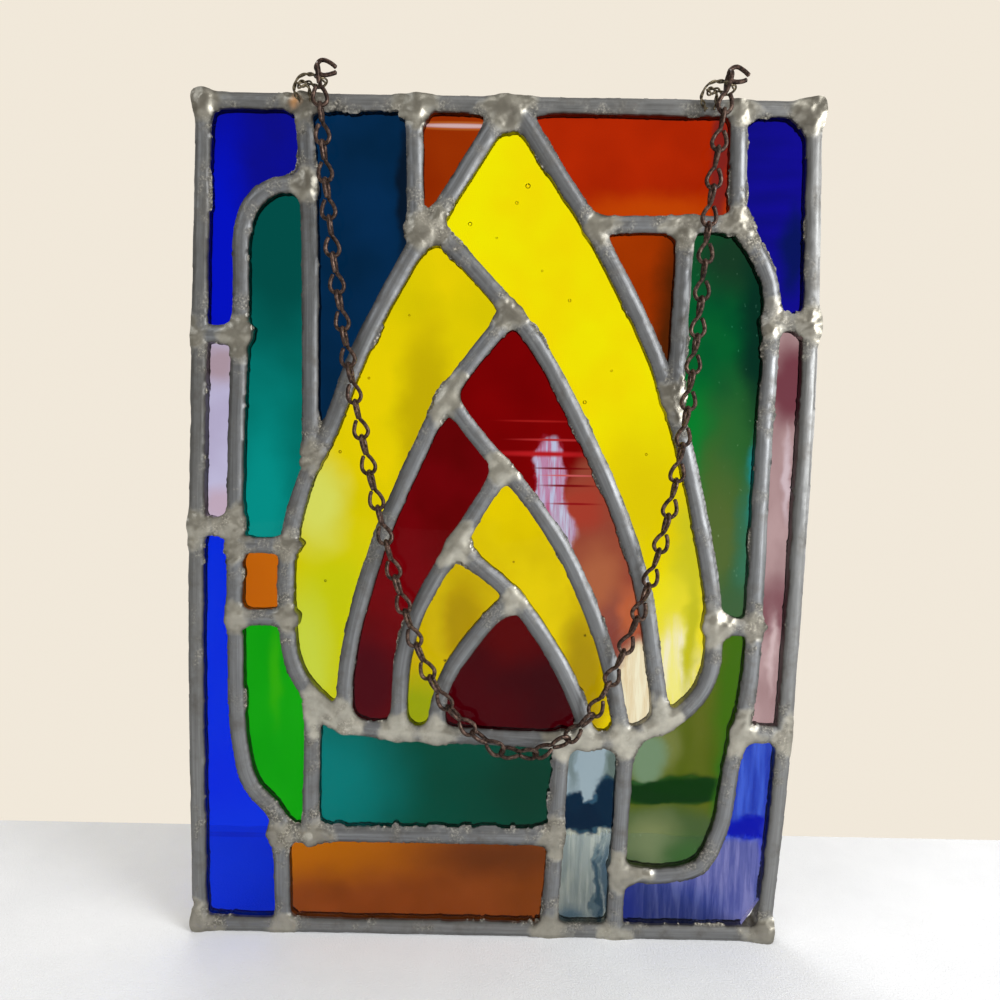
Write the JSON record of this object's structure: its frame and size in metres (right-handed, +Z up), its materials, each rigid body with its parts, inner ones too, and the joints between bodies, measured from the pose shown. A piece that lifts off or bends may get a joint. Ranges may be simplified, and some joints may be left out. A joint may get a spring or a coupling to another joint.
{
  "type": "stained glass window",
  "caption": "Leaded glass hanging panel with coloured panes in a bud and flame layout, a soldered lead border, wire loops on the top edge and a jack chain hanging in a bow.",
  "frame": {"origin": "middle of the top edge, half way through the thickness of the panel", "axes": "+X to the right seen from the front, +Z up, the front of the panel faces -Y"},
  "size_m": [0.2195, 0.0155, 0.3063],
  "materials": {
    "lead_came": "dull grey lead with scratches, pale lumpy solder at the joints and cement grit along the glass",
    "border_came": "dull grey lead with scratches, pale lumpy solder at the joints and corners",
    "blue_glass": "smooth polished deep blue, slightly wavy",
    "navy_glass": "smooth polished dark navy",
    "orange_red_glass": "smooth polished orange red",
    "lilac_glass": "fine textured pale lilac with pinkish ends",
    "teal_glass": "smooth polished teal, darker to one side",
    "amber_glass": "smooth polished amber",
    "bright_green_glass": "smooth polished bright green with a yellowish streak",
    "bright_blue_glass": "smooth polished bright blue",
    "clear_glass": "reeded clear glass with a grey cast",
    "olive_green_glass": "streaky olive and green with small bubbles",
    "violet_glass": "streaky violet blue, hammered",
    "pink_glass": "wispy pink and mauve",
    "green_glass": "smooth dark green with small bubbles",
    "yellow_glass": "smooth polished yellow with a few bubbles",
    "red_glass": "smooth polished ruby with ripples",
    "dark_red_glass": "smooth polished dark ruby",
    "loop_wire": "thin tinned wire gone olive brown",
    "chain_wire": "copper plated steel wire, dark brown and rusty"
  },
  "bodies": {
    "root": {"border_bottom": "border_came", "border_left": "border_came", "border_right": "border_came", "border_top": "border_came", "came_amber_side": "lead_came", "came_bud_base": "lead_came", "came_bud_left": "lead_came", "came_bud_right": "lead_came", "came_clear_left": "lead_came", "came_clear_right": "lead_came", "came_flame_inner_left": "lead_came", "came_flame_inner_right": "lead_came", "came_flame_middle_left": "lead_came", "came_flame_middle_right": "lead_came", "came_flame_outer_left": "lead_came", "came_flame_outer_right": "lead_came", "came_foot_bar": "lead_came", "came_foot_stub": "lead_came", "came_left_arch": "lead_came", "came_left_rung_lower": "lead_came", "came_left_rung_upper": "lead_came", "came_left_upright": "lead_came", "came_right_arch": "lead_came", "came_right_bar": "lead_came", "came_right_rung_lower": "lead_came", "came_right_rung_middle": "lead_came", "came_right_rung_upper": "lead_came", "came_right_upright": "lead_came", "came_square_bottom": "lead_came", "came_square_top": "lead_came", "came_teal_left": "lead_came", "came_top_stub": "lead_came", "chain": "chain_wire", "glass_amber_bottom": "amber_glass", "glass_amber_small": "amber_glass", "glass_blue_lower_left": "bright_blue_glass", "glass_blue_top_left": "blue_glass", "glass_blue_top_right": "blue_glass", "glass_clear_bottom": "clear_glass", "glass_dark_red_centre": "dark_red_glass", "glass_green_lower_left": "bright_green_glass", "glass_green_lower_right": "olive_green_glass", "glass_green_right": "green_glass", "glass_lilac_left": "lilac_glass", "glass_navy_top": "navy_glass", "glass_orange_square": "amber_glass", "glass_pink_right": "pink_glass", "glass_red_left": "red_glass", "glass_red_right": "red_glass", "glass_red_small_top": "orange_red_glass", "glass_red_top": "orange_red_glass", "glass_teal_bottom": "teal_glass", "glass_teal_left": "teal_glass", "glass_violet_lower_right": "violet_glass", "glass_yellow_inner_left": "yellow_glass", "glass_yellow_inner_right": "yellow_glass", "glass_yellow_outer_left": "yellow_glass", "glass_yellow_outer_right": "yellow_glass", "hanging_loop_left": "loop_wire", "hanging_loop_right": "loop_wire"}
  },
  "joints": []
}
